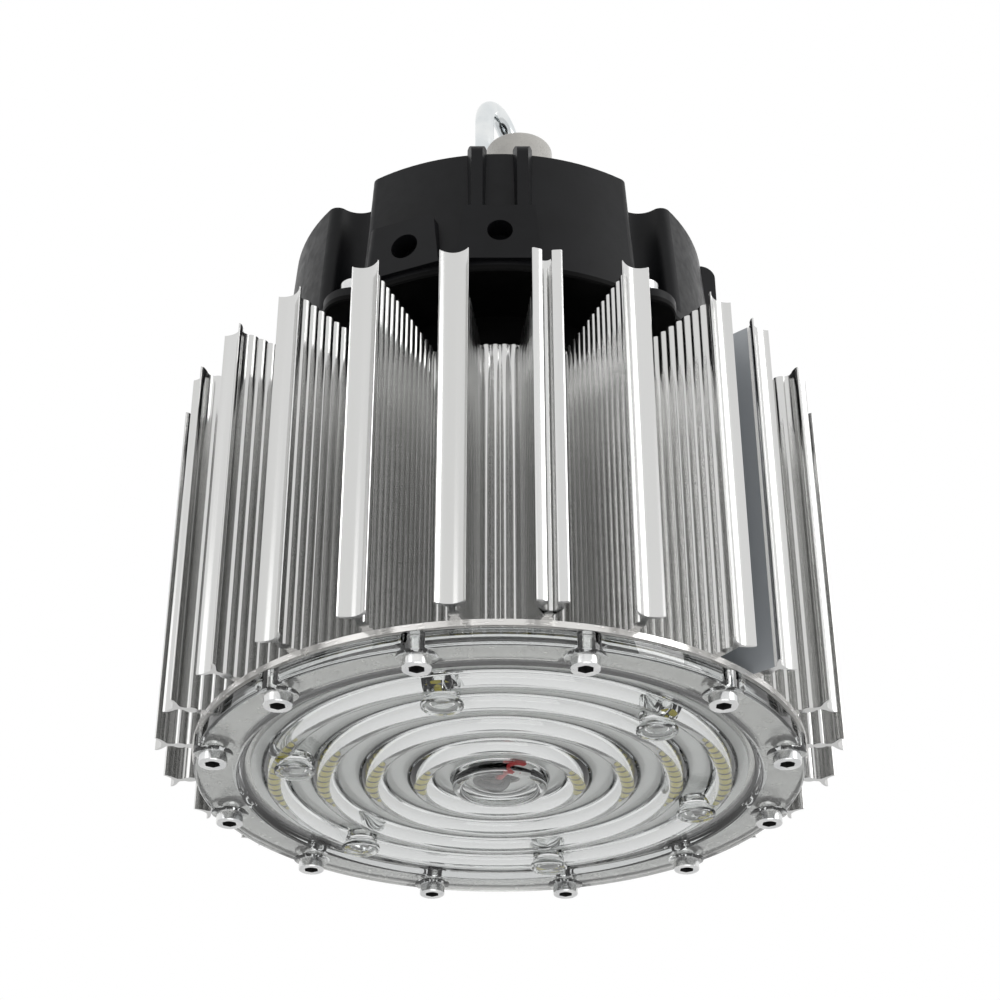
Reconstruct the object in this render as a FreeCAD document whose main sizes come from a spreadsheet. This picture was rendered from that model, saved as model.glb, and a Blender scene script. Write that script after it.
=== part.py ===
import FreeCAD, Part
import math
import os

# High bay light, hung from an eye over a ring lens. Millimetres, +Z up.
# The origin is on the light's axis, in the plane of the lens posts and lens screw heads, which is
# what the light rests on when it is set down. Azimuths are counted from -Y (the front) towards +X.

DRIVING = {
    # round plan
    "screw_circle": 104.0,        # radius of the lens screws
    "post_circle": 75.0,          # radius of the lens posts over the board screws
    "lens_radius": 110.0,
    "plate_radius": 111.0,
    "board_radius": 89.5,
    "core_radius": 66.0,
    "fin_tip_radius": 124.4,
    "duct_radius": 14.0,          # the leads' way up through the core
    "plate_duct": 8.0,
    "chamber_circle": 40.0,
    "chamber_radius": 16.0,
    "bolt_circle": 58.0,          # long screws that hold cover, neck and heat sink together
    # heights, from the lens posts' lowest faces up
    "lens_top": 10.7,
    "lens_seat": 4.0,             # lower face of the rim, where the screw heads bear
    "plate_thick": 2.2,
    "board_thick": 1.6,
    "sink_height": 139.3,
    "neck_height": 17.8,
    "housing_height": 59.3,
    "cover_thick": 2.5,
    # ring lens
    "ring_count": 4,
    "ring_first": 28.5,
    "ring_step": 17.5,
    "ridge_radius": 5.6,
    "lens_web": 2.3,
    "lamp_gap": 0.1,
    "cup_radius": 17.5,
    "channel_half": 2.6,          # channel over each LED ring
    "channel_deep": 1.1,
    "gasket_in": 92.0,
    "gasket_out": 95.0,
    "gasket_thick": 2.0,
    # fins
    "fin_count": 24,
    "rib_count": 12,
    "rib_pitch": 4.2,
    "rib_rise": 0.9,
    "web_half": 1.0,
    "flange_half": 5.2,
    "pair_shift": 2.2,            # degrees by which the two closer fins lean together
    # driver housing
    "housing_foot": 88.6,
    "housing_top": 84.5,
    "wall_thick": 3.0,
    "pocket_circle": 80.3,
    "pocket_azimuth": 43.5,
    "pocket_radius": 9.2,
    "flange_height": 6.0,
    "mouth_round": 4.0,
    "ear_radius": 12.0,
    "pad_face": 90.0,
    "pad_rise": 4.5,              # from the housing's foot up to the pads
    # hanging eye and cable gland
    "eye_wire": 8.1,
    "eye_bend": 13.5,
    "eye_straight": 26.0,
    "eye_turn": 27.3,             # degrees that the eye is turned from the front-to-back plane
    "eye_top": 329.0,
    "seat_radius": 17.0,
    "seat_height": 7.7,
    "nut_across": 24.0,
    "gland_circle": 47.0,
    "gland_azimuth": 9.8,
    "gland_across": 27.0,
    "gland_height": 33.4,
}

doc = FreeCAD.newDocument("high_bay_light")
sheet = doc.addObject("Spreadsheet::Sheet", "dims")
for row, (alias, value) in enumerate(DRIVING.items(), start=1):
    sheet.set("A%d" % row, alias)
    sheet.set("B%d" % row, str(value))
    sheet.setAlias("B%d" % row, alias)
doc.recompute()

NODES = []


def dim(alias):
    """Read a driving dimension from the sheet."""
    return float(sheet.get(alias))


def add(kind, name, **expressions):
    """Add an object whose properties are bound to the sheet by expressions."""
    obj = doc.addObject(kind, name)
    for prop, expression in expressions.items():
        if isinstance(expression, (int, float)):
            expression = str(expression)
        obj.setExpression(prop.replace("__", "."), expression)
    return obj


def lift(obj, z, x=0, y=0):
    """Bind where an object stands."""
    obj.setExpression("Placement.Base.x", str(x))
    obj.setExpression("Placement.Base.y", str(y))
    obj.setExpression("Placement.Base.z", str(z))
    return obj


def cylinder(name, radius, height, z, x=0, y=0):
    return lift(add("Part::Cylinder", name, Radius=radius, Height=height), z, x, y)


def hexagon(name, across, height, z, x=0, y=0):
    """A hexagonal prism given by its size across the flats."""
    prism = add("Part::Prism", name, Circumradius="(%s) / sqrt(3)" % across, Height=height)
    prism.Polygon = 6
    return lift(prism, z, x, y)


def fuse(name, *shapes):
    obj = doc.addObject("Part::MultiFuse", name)
    obj.Shapes = list(shapes)
    obj.Refine = True
    return obj


def cut(name, base, *tools):
    obj = doc.addObject("Part::Cut", name)
    obj.Base = base
    obj.Tool = tools[0] if len(tools) == 1 else fuse(name + "_tools", *tools)
    return obj


def tube(name, outer, inner, height, z):
    """A ring of rectangular section round the axis."""
    return cut(name, cylinder(name + "_outer", outer, height, z),
               cylinder(name + "_inner", inner, height, z))


def node(obj, label):
    """Mark an object as a finished piece, saved under its label."""
    obj.Label = label
    NODES.append(obj)
    return obj


def shaped(name, shape):
    """A piece made straight from Part's functions."""
    obj = doc.addObject("Part::Feature", name)
    obj.Shape = shape
    return obj


def revolved(name, face):
    """Turn a flat profile (x = radius, z = height) round the light's axis."""
    spin = doc.addObject("Part::Revolution", name)
    spin.Source = shaped(name + "_profile", face)
    spin.Axis = (0, 0, 1)
    spin.Angle = 360
    spin.Solid = True
    return spin


def around(radius, azimuth, z=0.0):
    """The point at a radius and azimuth."""
    turn = math.radians(azimuth)
    return FreeCAD.Vector(radius * math.sin(turn), -radius * math.cos(turn), z)


def turned(shape, azimuth):
    """A copy turned from the front round the axis."""
    copy = shape.copy()
    copy.rotate(FreeCAD.Vector(0, 0, 0), FreeCAD.Vector(0, 0, 1), azimuth)
    return copy


def polygon(points):
    """A closed wire through (x, z) points."""
    corners = [FreeCAD.Vector(x, 0, z) for x, z in points]
    return Part.makePolygon(corners + corners[:1])


def disc_face(radius, centre):
    return Part.Face(Part.Wire(Part.makeCircle(radius, centre)))


# Heights that several pieces share.
PLATE_TOP = "(dims.lens_top + dims.plate_thick)"
SINK_TOP = "(%s + dims.sink_height)" % PLATE_TOP
HOUSING_FOOT = "(%s + dims.neck_height)" % SINK_TOP
HOUSING_TOP = "(%s + dims.housing_height)" % HOUSING_FOOT
COVER_TOP = "(%s + dims.cover_thick)" % HOUSING_FOOT
FLANGE_TOP = "(%s + dims.flange_height)" % HOUSING_FOOT
BOARD_LOW = "(dims.lens_top - dims.board_thick)"

plate_top = dim("lens_top") + dim("plate_thick")
sink_top = plate_top + dim("sink_height")
housing_foot = sink_top + dim("neck_height")
housing_top = housing_foot + dim("housing_height")
flange_top = housing_foot + dim("flange_height")
board_low = dim("lens_top") - dim("board_thick")
ring_radii = [dim("ring_first") + k * dim("ring_step") for k in range(int(dim("ring_count")))]
screw_azimuths = [15 + 30 * k for k in range(12)]
post_azimuths = [45 + 60 * k for k in range(6)]
bolt_azimuths = [45 + 90 * k for k in range(4)]
pocket = dim("pocket_azimuth")
pocket_azimuths = [pocket, 180 - pocket, 180 + pocket, -pocket]


# ---------------------------------------------------------------- heat sink
# One radial extrusion: a chambered core and ribbed fins with hollow-faced flanges.

def fin_web(left_ribbed, right_ribbed, end):
    """The fin's web along -Y, its sides rolled into ribs from the core out to the flange."""
    start = dim("core_radius") - 2
    first = dim("core_radius") + 1
    pitch = dim("rib_pitch")
    valley = dim("web_half")
    peak = valley + dim("rib_rise")
    count = int(dim("rib_count"))

    def side(ribbed):
        if not ribbed:
            return [(start, valley + dim("rib_rise") / 2), (end, valley + dim("rib_rise") / 2)]
        points = [(start, valley)]
        for k in range(count):
            points.append((first + k * pitch, valley))
            points.append((first + (k + 0.5) * pitch, peak))
        points.append((first + count * pitch, valley))
        points.append((end, valley))
        return points

    right = [FreeCAD.Vector(v, -u, 0) for u, v in side(right_ribbed)]
    left = [FreeCAD.Vector(-v, -u, 0) for u, v in side(left_ribbed)]
    outline = right + left[::-1]
    return Part.Face(Part.makePolygon(outline + outline[:1]))


def flange(half, tip, hollow, thick):
    """A flange across a fin's end, hollow on its outer face, with rounded-back lips."""
    outer = Part.Arc(FreeCAD.Vector(-half, -tip, 0), FreeCAD.Vector(0, hollow - tip, 0),
                     FreeCAD.Vector(half, -tip, 0)).toShape()
    back = Part.Arc(FreeCAD.Vector(half, thick * 0.6 - tip, 0),
                    FreeCAD.Vector(0, hollow + thick - tip, 0),
                    FreeCAD.Vector(-half, thick * 0.6 - tip, 0)).toShape()
    lips = [Part.makeLine(outer.lastVertex().Point, FreeCAD.Vector(half, thick * 0.6 - tip, 0)),
            Part.makeLine(FreeCAD.Vector(-half, thick * 0.6 - tip, 0), outer.firstVertex().Point)]
    return Part.Face(Part.Wire([outer, lips[0], back, lips[1]]))


def plain_fin(left_ribbed=True, right_ribbed=True):
    tip = dim("fin_tip_radius")
    web = fin_web(left_ribbed, right_ribbed, tip - 3.4)
    return web.fuse(flange(dim("flange_half"), tip, 2.6, 1.6))


def screw_port_fin():
    """The fin that ends in an open screw port instead of a plain flange."""
    tip = dim("fin_tip_radius")
    centre = FreeCAD.Vector(0, 4.6 - tip, 0)
    boss = disc_face(4.2, centre)
    port = disc_face(2.4, centre)
    slot = Part.makePlane(3.4, 8, FreeCAD.Vector(-1.7, centre.y - 8, 0))
    face = fin_web(True, True, tip - 7).fuse([boss, flange(5.4, tip, 0.8, 1.6)])
    return face.cut([port, slot])


def core_face():
    """The core's outline, rolled into the same ribs as the fins, five to each space."""
    count = 5 * int(dim("fin_count"))
    radius = dim("core_radius")
    points = []
    for k in range(count):
        points.append(around(radius, 360 * k / count))
        points.append(around(radius + dim("rib_rise"), 360 * (k + 0.5) / count))
    return Part.Face(Part.makePolygon(points + points[:1]))


def sink_profile():
    core = core_face()
    fins = []
    step = 360 / dim("fin_count")
    for k in range(int(dim("fin_count"))):
        azimuth = step * (k + 0.5)
        if k == 0:
            fins.append(turned(screw_port_fin(), azimuth))
        elif k == 2:
            fins.append(turned(plain_fin(right_ribbed=False), azimuth + dim("pair_shift")))
        elif k == 3:
            fins.append(turned(plain_fin(left_ribbed=False), azimuth - dim("pair_shift")))
        else:
            fins.append(turned(plain_fin(), azimuth))
    holes = [disc_face(dim("duct_radius"), around(0, 0))]
    for k in range(6):
        holes.append(disc_face(dim("chamber_radius"), around(dim("chamber_circle"), 60 * k)))
    for azimuth in bolt_azimuths:
        holes.append(disc_face(2.5, around(dim("bolt_circle"), azimuth)))
    joined = Part.Shell(core.fuse(fins).Faces).removeSplitter()
    return joined.cut(holes).Faces[0]


sink = doc.addObject("Part::Extrusion", "heat_sink")
sink.Base = shaped("sink_profile", sink_profile())
sink.DirMode = "Custom"
sink.Dir = FreeCAD.Vector(0, 0, 1)
sink.Solid = True
sink.setExpression("LengthFwd", "dims.sink_height")
node(lift(sink, PLATE_TOP), "heat_sink")


# ---------------------------------------------------------------- plate and board

def pierced_disc(name, radius, thick, z, holes):
    """A disc with vertical holes, given as (radius, point) pairs."""
    disc = cylinder(name + "_disc", radius, thick, z)
    tools = [cylinder("%s_hole_%d" % (name, k), r, thick, z, p.x, p.y)
             for k, (r, p) in enumerate(holes)]
    return cut(name, disc, *tools)


plate_holes = [(dim("plate_duct"), around(0, 0))]
plate_holes += [(3.0, around(dim("screw_circle"), a)) for a in screw_azimuths]
plate_holes += [(2.0, around(dim("post_circle"), a)) for a in post_azimuths]
plate_holes += [(2.6, around(dim("bolt_circle"), a)) for a in bolt_azimuths]
node(pierced_disc("base_plate", "dims.plate_radius", "dims.plate_thick", "dims.lens_top",
                  plate_holes), "base_plate")

board_holes = [(dim("plate_duct"), around(0, 0))]
board_holes += [(2.2, around(dim("post_circle"), a)) for a in post_azimuths]
node(pierced_disc("led_board", "dims.board_radius", "dims.board_thick", BOARD_LOW, board_holes),
     "led_board")


def lamp_ring(radius):
    """Chip LEDs soldered round one circle of the board, long side across the circle."""
    count = 2 * round(math.pi * radius / 4.8)
    lamp = Part.makeBox(2.8, 3.5, 0.8, FreeCAD.Vector(-1.4, -radius - 1.75, board_low - 0.8))
    return Part.makeCompound([turned(lamp, 360 * (k + 0.5) / count) for k in range(count)])


for index, radius in enumerate(ring_radii, start=1):
    name = "led_ring_%d" % index
    node(shaped(name, lamp_ring(radius)), name)


# ---------------------------------------------------------------- ring lens
# One clear moulding: a thick rim with screw bosses, four half-round ridges over the LED rings,
# six posts over the board screws and a low cup over the wiring in the middle.

def lens_profile():
    top = board_low - dim("lamp_gap")
    low = top - dim("lens_web")
    ridge = dim("ridge_radius")
    reach = math.sqrt(ridge ** 2 - (top - low) ** 2)
    rim_in = 90.2
    groove_in = dim("gasket_in")
    groove_out = dim("gasket_out")
    groove_low = dim("lens_top") - dim("gasket_thick")
    rim = dim("lens_radius")
    seat = dim("lens_seat")
    full = dim("lens_top")
    edges = []

    def line(a, b):
        edges.append(Part.makeLine(FreeCAD.Vector(a[0], 0, a[1]), FreeCAD.Vector(b[0], 0, b[1])))

    def arc(a, middle, b):
        points = [FreeCAD.Vector(x, 0, z) for x, z in (a, middle, b)]
        edges.append(Part.Arc(*points).toShape())

    # underside, from the axis outwards
    cup_in = 14.0
    cup_out = dim("cup_radius")
    cup_low = 2.4
    window = 3.6
    line((0, window), (cup_in, window))
    line((cup_in, window), (cup_in, cup_low))
    line((cup_in, cup_low), (cup_out - 1, cup_low))
    line((cup_out - 1, cup_low), (cup_out, low))
    last = (cup_out, low)
    for radius in ring_radii:
        line(last, (radius - reach, low))
        arc((radius - reach, low), (radius, top - ridge), (radius + reach, low))
        last = (radius + reach, low)
    line(last, (rim_in + 4, low))
    line((rim_in + 4, low), (rim_in + 5.5, seat + 0.5))
    line((rim_in + 5.5, seat + 0.5), (rim - 0.8, seat + 0.5))
    line((rim - 0.8, seat + 0.5), (rim, seat + 1.3))
    line((rim, seat + 1.3), (rim, full))
    # top, from the rim inwards, with the gasket groove
    line((rim, full), (groove_out, full))
    line((groove_out, full), (groove_out, groove_low))
    line((groove_out, groove_low), (groove_in, groove_low))
    line((groove_in, groove_low), (groove_in, full))
    line((groove_in, full), (rim_in, full))
    line((rim_in, full), (rim_in, top))
    line((rim_in, top), (cup_out - 2, top))
    line((cup_out - 2, top), (cup_in, window + 2))
    line((cup_in, window + 2), (0, window + 2))
    line((0, window + 2), (0, window))
    return Part.Face(Part.Wire(Part.__sortEdges__(edges)))


LENS_FLAT = "(%s - dims.lamp_gap)" % BOARD_LOW
lens_parts = [revolved("lens_disc", lens_profile())]
lens_cuts = []
for k, azimuth in enumerate(screw_azimuths):
    p = around(dim("screw_circle"), azimuth)
    lens_parts.append(cylinder("lens_boss_%d" % k, 7.0, "dims.lens_top - dims.lens_seat",
                               "dims.lens_seat", p.x, p.y))
    lens_cuts.append(cylinder("lens_bore_%d" % k, 3.2, "dims.lens_top", 0, p.x, p.y))
for k, azimuth in enumerate(post_azimuths):
    p = around(dim("post_circle"), azimuth)
    lens_parts.append(cylinder("lens_post_%d" % k, 6.0, LENS_FLAT, 0, p.x, p.y))
    lens_parts.append(cylinder("post_end_%d" % k, 7.3, 2.6, 0, p.x, p.y))
    lens_cuts.append(cylinder("post_hollow_%d" % k, 4.4, 6.0, "%s - 5.0" % BOARD_LOW, p.x, p.y))
for k, radius in enumerate(ring_radii):
    lens_cuts.append(tube("lamp_channel_%d" % k, "%g + dims.channel_half" % radius,
                          "%g - dims.channel_half" % radius, "dims.channel_deep",
                          "%s - dims.channel_deep" % LENS_FLAT))
node(cut("lens", fuse("lens_solid", *lens_parts), *lens_cuts), "ring_lens")

node(tube("gasket", "dims.gasket_out", "dims.gasket_in", "dims.gasket_thick",
          "dims.lens_top - dims.gasket_thick"), "lens_gasket")


# ---------------------------------------------------------------- wiring in the lens cup
# A two-pole terminal on the board, and the leads that go up the core's duct to the driver.
spacer_height = 5.0
driver_low = housing_foot + dim("cover_thick") + spacer_height
lead_level = board_low - 1.6
terminal_azimuth = 35
terminal_high = 2.9
terminal = Part.makeBox(7, 5, terminal_high, FreeCAD.Vector(-3.5, -13.2, board_low - terminal_high))
node(shaped("wire_terminal", turned(terminal, terminal_azimuth)), "wire_terminal")


def lead(name, side):
    """One lead: out of the terminal, round one bend and straight up the duct."""
    radius = 1.0
    bend = 8.0
    upright = 4.0
    sag = bend * (1 - math.sqrt(0.5))
    start = FreeCAD.Vector(side, -8.2, lead_level)
    low = FreeCAD.Vector(side, upright - bend, lead_level)
    middle = FreeCAD.Vector(side, upright - sag, lead_level + sag)
    high = FreeCAD.Vector(side, upright, lead_level + bend)
    end = FreeCAD.Vector(side, upright, driver_low)
    route = Part.Wire([Part.makeLine(start, low), Part.Arc(low, middle, high).toShape(),
                       Part.makeLine(high, end)])
    section = Part.Wire(Part.makeCircle(radius, start, FreeCAD.Vector(0, 1, 0)))
    return shaped(name, turned(route.makePipeShell([section], True, False), terminal_azimuth))


node(lead("red_lead", -1.4), "red_lead")
node(lead("black_lead", 1.4), "black_lead")


# ---------------------------------------------------------------- screws

def socket_screw(head_radius, head, shank_radius, shank, socket_across):
    """A cap screw standing on its head's lower face: chamfered head, hexagon socket, plain shank."""
    chamfer = 0.5
    body = Part.Face(polygon([(0, 0), (head_radius - chamfer, 0), (head_radius, chamfer),
                              (head_radius, head), (shank_radius, head),
                              (shank_radius, head + shank), (0, head + shank)]))
    solid = body.revolve(FreeCAD.Vector(0, 0, 0), FreeCAD.Vector(0, 0, 1), 360)
    corners = [around(socket_across / math.sqrt(3), 60 * k) for k in range(7)]
    socket = Part.Face(Part.makePolygon(corners)).extrude(FreeCAD.Vector(0, 0, head * 0.55))
    return solid.cut(socket)


def ring_of(shape, radius, azimuths, z):
    """Copies of a shape at azimuths on a circle, as separate solids of one group."""
    copies = []
    for azimuth in azimuths:
        copy = shape.copy()
        copy.translate(around(radius, 0, z))
        copies.append(turned(copy, azimuth))
    return Part.makeCompound(copies)


lens_screw = socket_screw(5.0, dim("lens_seat"), 3.0, plate_top - dim("lens_seat"), 4.0)
node(shaped("lens_screws", ring_of(lens_screw, dim("screw_circle"), screw_azimuths, 0)),
     "lens_screws")

board_head = 2.4
board_screw = socket_screw(3.8, board_head, 2.0, plate_top - board_low, 2.5)
node(shaped("board_screws", ring_of(board_screw, dim("post_circle"), post_azimuths,
                                    board_low - board_head)), "board_screws")


# ---------------------------------------------------------------- neck under the driver housing
neck_duct = 15.0
neck_tools = [cylinder("neck_duct", neck_duct, "dims.neck_height", SINK_TOP)]
for k, azimuth in enumerate(bolt_azimuths):
    p = around(dim("bolt_circle"), azimuth)
    neck_tools.append(cylinder("neck_bore_%d" % k, 2.7, "dims.neck_height", SINK_TOP, p.x, p.y))
neck_disc = lift(add("Part::Cone", "neck_disc", Radius1="dims.core_radius - 2",
                     Radius2="dims.core_radius - 6", Height="dims.neck_height"), SINK_TOP)
node(cut("neck", neck_disc, *neck_tools), "neck")


# ---------------------------------------------------------------- driver housing
# A drafted drum with an upright pocket over each of its four screws, which makes it four-lobed.

def housing_wall(name, inset, low, high):
    """The drafted wall between two heights, inset for its inside."""
    slope = "(dims.housing_top - dims.housing_foot) / dims.housing_height"
    r_low = "dims.housing_foot - %s + (%s) * (%s - %s)" % (inset, slope, low, HOUSING_FOOT)
    r_high = "dims.housing_foot - %s + (%s) * (%s - %s)" % (inset, slope, high, HOUSING_FOOT)
    body = add("Part::Cone", name + "_cone", Radius1=r_low, Radius2=r_high,
               Height="%s - %s" % (high, low))
    return lift(body, low)


def at_pockets(name, radius, height, z):
    """Upright cylinders on the pockets' axes."""
    posts = []
    for k, azimuth in enumerate(pocket_azimuths):
        p = around(dim("pocket_circle"), azimuth)
        posts.append(cylinder("%s_%d" % (name, k), radius, height, z, p.x, p.y))
    return posts


drum = housing_wall("housing_outer", 0, COVER_TOP, HOUSING_TOP)
lobed = cut("housing_lobed", drum,
            *at_pockets("pocket", "dims.pocket_radius", "dims.housing_height", FLANGE_TOP))
doc.recompute()


def mouth_edges(shape):
    """The upright edges where the pockets meet the outer wall."""
    found = []
    for number, edge in enumerate(shape.Edges, start=1):
        box = edge.BoundBox
        if box.ZMin > flange_top - 0.1 and box.ZLength > dim("housing_height") / 2:
            found.append(number)
    return found


rounded = doc.addObject("Part::Fillet", "housing_rounded")
rounded.Base = lobed
rounded.Edges = [(number, dim("mouth_round"), dim("mouth_round"))
                 for number in mouth_edges(lobed.Shape)]
doc.recompute()

inner = housing_wall("housing_inner", "dims.wall_thick", COVER_TOP,
                     "(%s - dims.wall_thick)" % HOUSING_TOP)
hollow = cut("housing_hollow", inner,
             *at_pockets("inner_post", "dims.pocket_radius + dims.wall_thick",
                         "dims.housing_height", COVER_TOP))


pad_face = dim("pad_face")
pad_low = housing_foot + dim("pad_rise")
pad_height = 25.0
pad_lean = 2.3
hole_deep = 9.0
hole_level = housing_foot + 17.5
left_level = housing_foot + 15.7
left_azimuth = -23.45


def pad_block(left, right, height):
    """A flat pad at the front, its sides leaning out towards the foot."""
    outline = [(-left - pad_lean, pad_low), (right + pad_lean, pad_low),
               (right, pad_low + height), (-left, pad_low + height)]
    points = [FreeCAD.Vector(x, -pad_face, z) for x, z in outline]
    return Part.Face(Part.makePolygon(points + points[:1])).extrude(FreeCAD.Vector(0, 10, 0))


def pad_hole(name, azimuth, radius, z):
    """A blind threaded hole in a pad, for a bracket's screw."""
    drill = Part.makeCylinder(radius, hole_deep, FreeCAD.Vector(0, -pad_face, z),
                              FreeCAD.Vector(0, 1, 0))
    return shaped(name, turned(drill, azimuth))


def pad_boss(name, azimuth, radius, z):
    """The boss inside the wall that holds a blind hole."""
    boss = Part.makeCylinder(radius, 8, FreeCAD.Vector(0, 4 - pad_face, z), FreeCAD.Vector(0, 1, 0))
    return shaped(name, turned(boss, azimuth))


def left_pad_block():
    """The pad beside the left pocket, its outer side rounded off into the lobe's end."""
    block = pad_block(15.5, 11.8, pad_height - 1.5)
    rounds = []
    for edge in block.Edges:
        box = edge.BoundBox
        upright_left = box.XMax < -15 and box.ZLength > 10 and box.YMax < 0.1 - pad_face
        top_right = box.XMin > 11 and box.YLength > 5 and box.ZMin > pad_low + 10
        if upright_left or top_right:
            rounds.append(edge)
    return block.makeFillet(3.6, rounds)


def rib_pair(name, azimuth):
    """Two upright ribs above a pad, standing a little over the housing's top edge."""
    spread = 8.7
    face_half = 2.15
    root_half = 3.7
    face = 89.6
    root = 84.0
    back = 79.0
    crest_round = 5.0
    low = pad_low + pad_height - 1
    high = housing_top + 2.2
    plan = [(-face_half, face), (face_half, face), (root_half, root),
            (root_half, back), (-root_half, back), (-root_half, root)]
    ribs = []
    for middle in (-spread, spread):
        points = [FreeCAD.Vector(middle + x, -y, low) for x, y in plan]
        rib = Part.Face(Part.makePolygon(points + points[:1]))
        rib = rib.extrude(FreeCAD.Vector(0, 0, high - low))
        crest = [edge for edge in rib.Edges
                 if edge.BoundBox.ZMin > high - 0.1 and edge.BoundBox.YMax < 0.1 - face]
        ribs.append(rib.makeFillet(crest_round, crest))
    return shaped(name, turned(Part.makeCompound(ribs), azimuth))


front_block = pad_block(13.3, 13.3, pad_height)
gland_at = around(dim("gland_circle"), dim("gland_azimuth"))
shell_parts = [rounded,
               shaped("front_pad", front_block),
               shaped("side_pad", turned(front_block, 90)),
               shaped("left_pad", turned(left_pad_block(), left_azimuth)),
               rib_pair("front_ribs", 0),
               rib_pair("side_ribs", 90),
               cylinder("eye_seat", "dims.seat_radius", "dims.seat_height", HOUSING_TOP)]
shell_parts += at_pockets("flange_ear", "dims.ear_radius", "dims.flange_height - dims.cover_thick",
                          COVER_TOP)
hollowed = cut("housing_hollowed", fuse("housing_shell", *shell_parts), hollow)
shell = fuse("housing_bossed", hollowed,
             pad_boss("front_boss", 0, 8.5, hole_level),
             pad_boss("side_boss", 90, 8.5, hole_level),
             pad_boss("left_boss", left_azimuth, 9.0, left_level))
shell_cuts = [pad_hole("front_hole", 0, 4.8, hole_level),
              pad_hole("side_hole", 90, 4.8, hole_level),
              pad_hole("left_hole", left_azimuth, 5.4, left_level),
              cylinder("eye_thread", 5, 20, "%s - 8" % HOUSING_TOP),
              cylinder("gland_thread", 10, 10, "%s - 5" % HOUSING_TOP, gland_at.x, gland_at.y)]
shell_cuts += at_pockets("flange_bore", 3.2, "dims.flange_height", HOUSING_FOOT)
node(cut("driver_housing", shell, *shell_cuts), "driver_housing")


def chamfered_disc(name, radius, x=0, y=0):
    """One disc of the cover's outline, its lower edge chamfered."""
    chamfer = 0.6
    foot = lift(add("Part::Cone", name + "_foot", Radius1="%s - %g" % (radius, chamfer),
                    Radius2=radius, Height=chamfer), HOUSING_FOOT, x, y)
    top = cylinder(name + "_top", radius, "dims.cover_thick - %g" % chamfer,
                   "%s + %g" % (HOUSING_FOOT, chamfer), x, y)
    return fuse(name, foot, top)


cover_skin = 1.0
cover_discs = [chamfered_disc("cover_disc", "dims.housing_foot")]
for k, azimuth in enumerate(pocket_azimuths):
    p = around(dim("pocket_circle"), azimuth)
    cover_discs.append(chamfered_disc("cover_ear_%d" % k, "dims.ear_radius", p.x, p.y))
cover_cuts = [cylinder("cover_duct", neck_duct, "dims.cover_thick", HOUSING_FOOT)]
cover_cuts += at_pockets("cover_tap", 3.0, "dims.cover_thick", "%s + %g" % (HOUSING_FOOT, cover_skin))
for k, azimuth in enumerate(bolt_azimuths):
    p = around(dim("bolt_circle"), azimuth)
    cover_cuts.append(cylinder("cover_bore_%d" % k, 2.7, "dims.cover_thick", HOUSING_FOOT, p.x, p.y))
node(cut("housing_cover", fuse("cover_plate", *cover_discs), *cover_cuts), "housing_cover")


def hung(screw):
    """A screw turned over, its head on top."""
    screw.rotate(FreeCAD.Vector(0, 0, 0), FreeCAD.Vector(1, 0, 0), 180)
    return screw


# the long screws that hold cover, neck and heat sink together
neck_head = 5.0
sink_grip = 12.0
neck_screw = hung(socket_screw(4.5, neck_head, 2.5,
                               dim("neck_height") + dim("cover_thick") + sink_grip, 4.0))
node(shaped("neck_screws", ring_of(neck_screw, dim("bolt_circle"), bolt_azimuths,
                                   housing_foot + dim("cover_thick") + neck_head)), "neck_screws")

# screws and washers in the pockets
washer_thick = 1.6
washer = Part.makeCylinder(6.4, washer_thick).cut(Part.makeCylinder(3.2, washer_thick))
node(shaped("housing_washers", ring_of(washer, dim("pocket_circle"), pocket_azimuths, flange_top)),
     "housing_washers")
housing_head = 8.0
housing_screw = hung(socket_screw(5.8, housing_head, 3.0,
                                  washer_thick + dim("flange_height") - cover_skin, 5.0))
node(shaped("housing_screws", ring_of(housing_screw, dim("pocket_circle"), pocket_azimuths,
                                      flange_top + washer_thick + housing_head)), "housing_screws")

# the potted driver inside, standing on the cover
driver_length = 96.0
driver_width = 62.0
driver_front = -20.0
driver_box = add("Part::Box", "driver_box", Length=driver_length, Width=driver_width, Height=36)
node(lift(driver_box, driver_low, -driver_length / 2, driver_front), "driver")
spacer_length = 60.0
spacer_front = 17.0
spacer = add("Part::Box", "driver_foot_block", Length=spacer_length, Width=24, Height=spacer_height)
node(lift(spacer, COVER_TOP, -spacer_length / 2, spacer_front), "driver_spacer")


# ---------------------------------------------------------------- hanging eye and cable gland
eye_bend = dim("eye_bend")
eye_wire = dim("eye_wire")
leg_high = dim("eye_top") - eye_wire / 2 - eye_bend
leg_low = leg_high - dim("eye_straight")
eye_foot = leg_low - eye_bend - eye_wire / 2


def eye_loop():
    """The eye: two bends joined by straight legs, swept with the wire's circle."""
    upper = Part.Arc(FreeCAD.Vector(-eye_bend, 0, leg_high), FreeCAD.Vector(0, 0, leg_high + eye_bend),
                     FreeCAD.Vector(eye_bend, 0, leg_high)).toShape()
    right = Part.makeLine(FreeCAD.Vector(eye_bend, 0, leg_high), FreeCAD.Vector(eye_bend, 0, leg_low))
    lower = Part.Arc(FreeCAD.Vector(eye_bend, 0, leg_low), FreeCAD.Vector(0, 0, leg_low - eye_bend),
                     FreeCAD.Vector(-eye_bend, 0, leg_low)).toShape()
    left = Part.makeLine(FreeCAD.Vector(-eye_bend, 0, leg_low), FreeCAD.Vector(-eye_bend, 0, leg_high))
    start = FreeCAD.Vector(-eye_bend, 0, leg_high)
    section = Part.Wire(Part.makeCircle(eye_wire / 2, start, FreeCAD.Vector(0, 0, 1)))
    sweep = Part.Wire([upper, right, lower, left]).makePipeShell([section], True, False)
    return turned(sweep, 90 - dim("eye_turn"))


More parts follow.
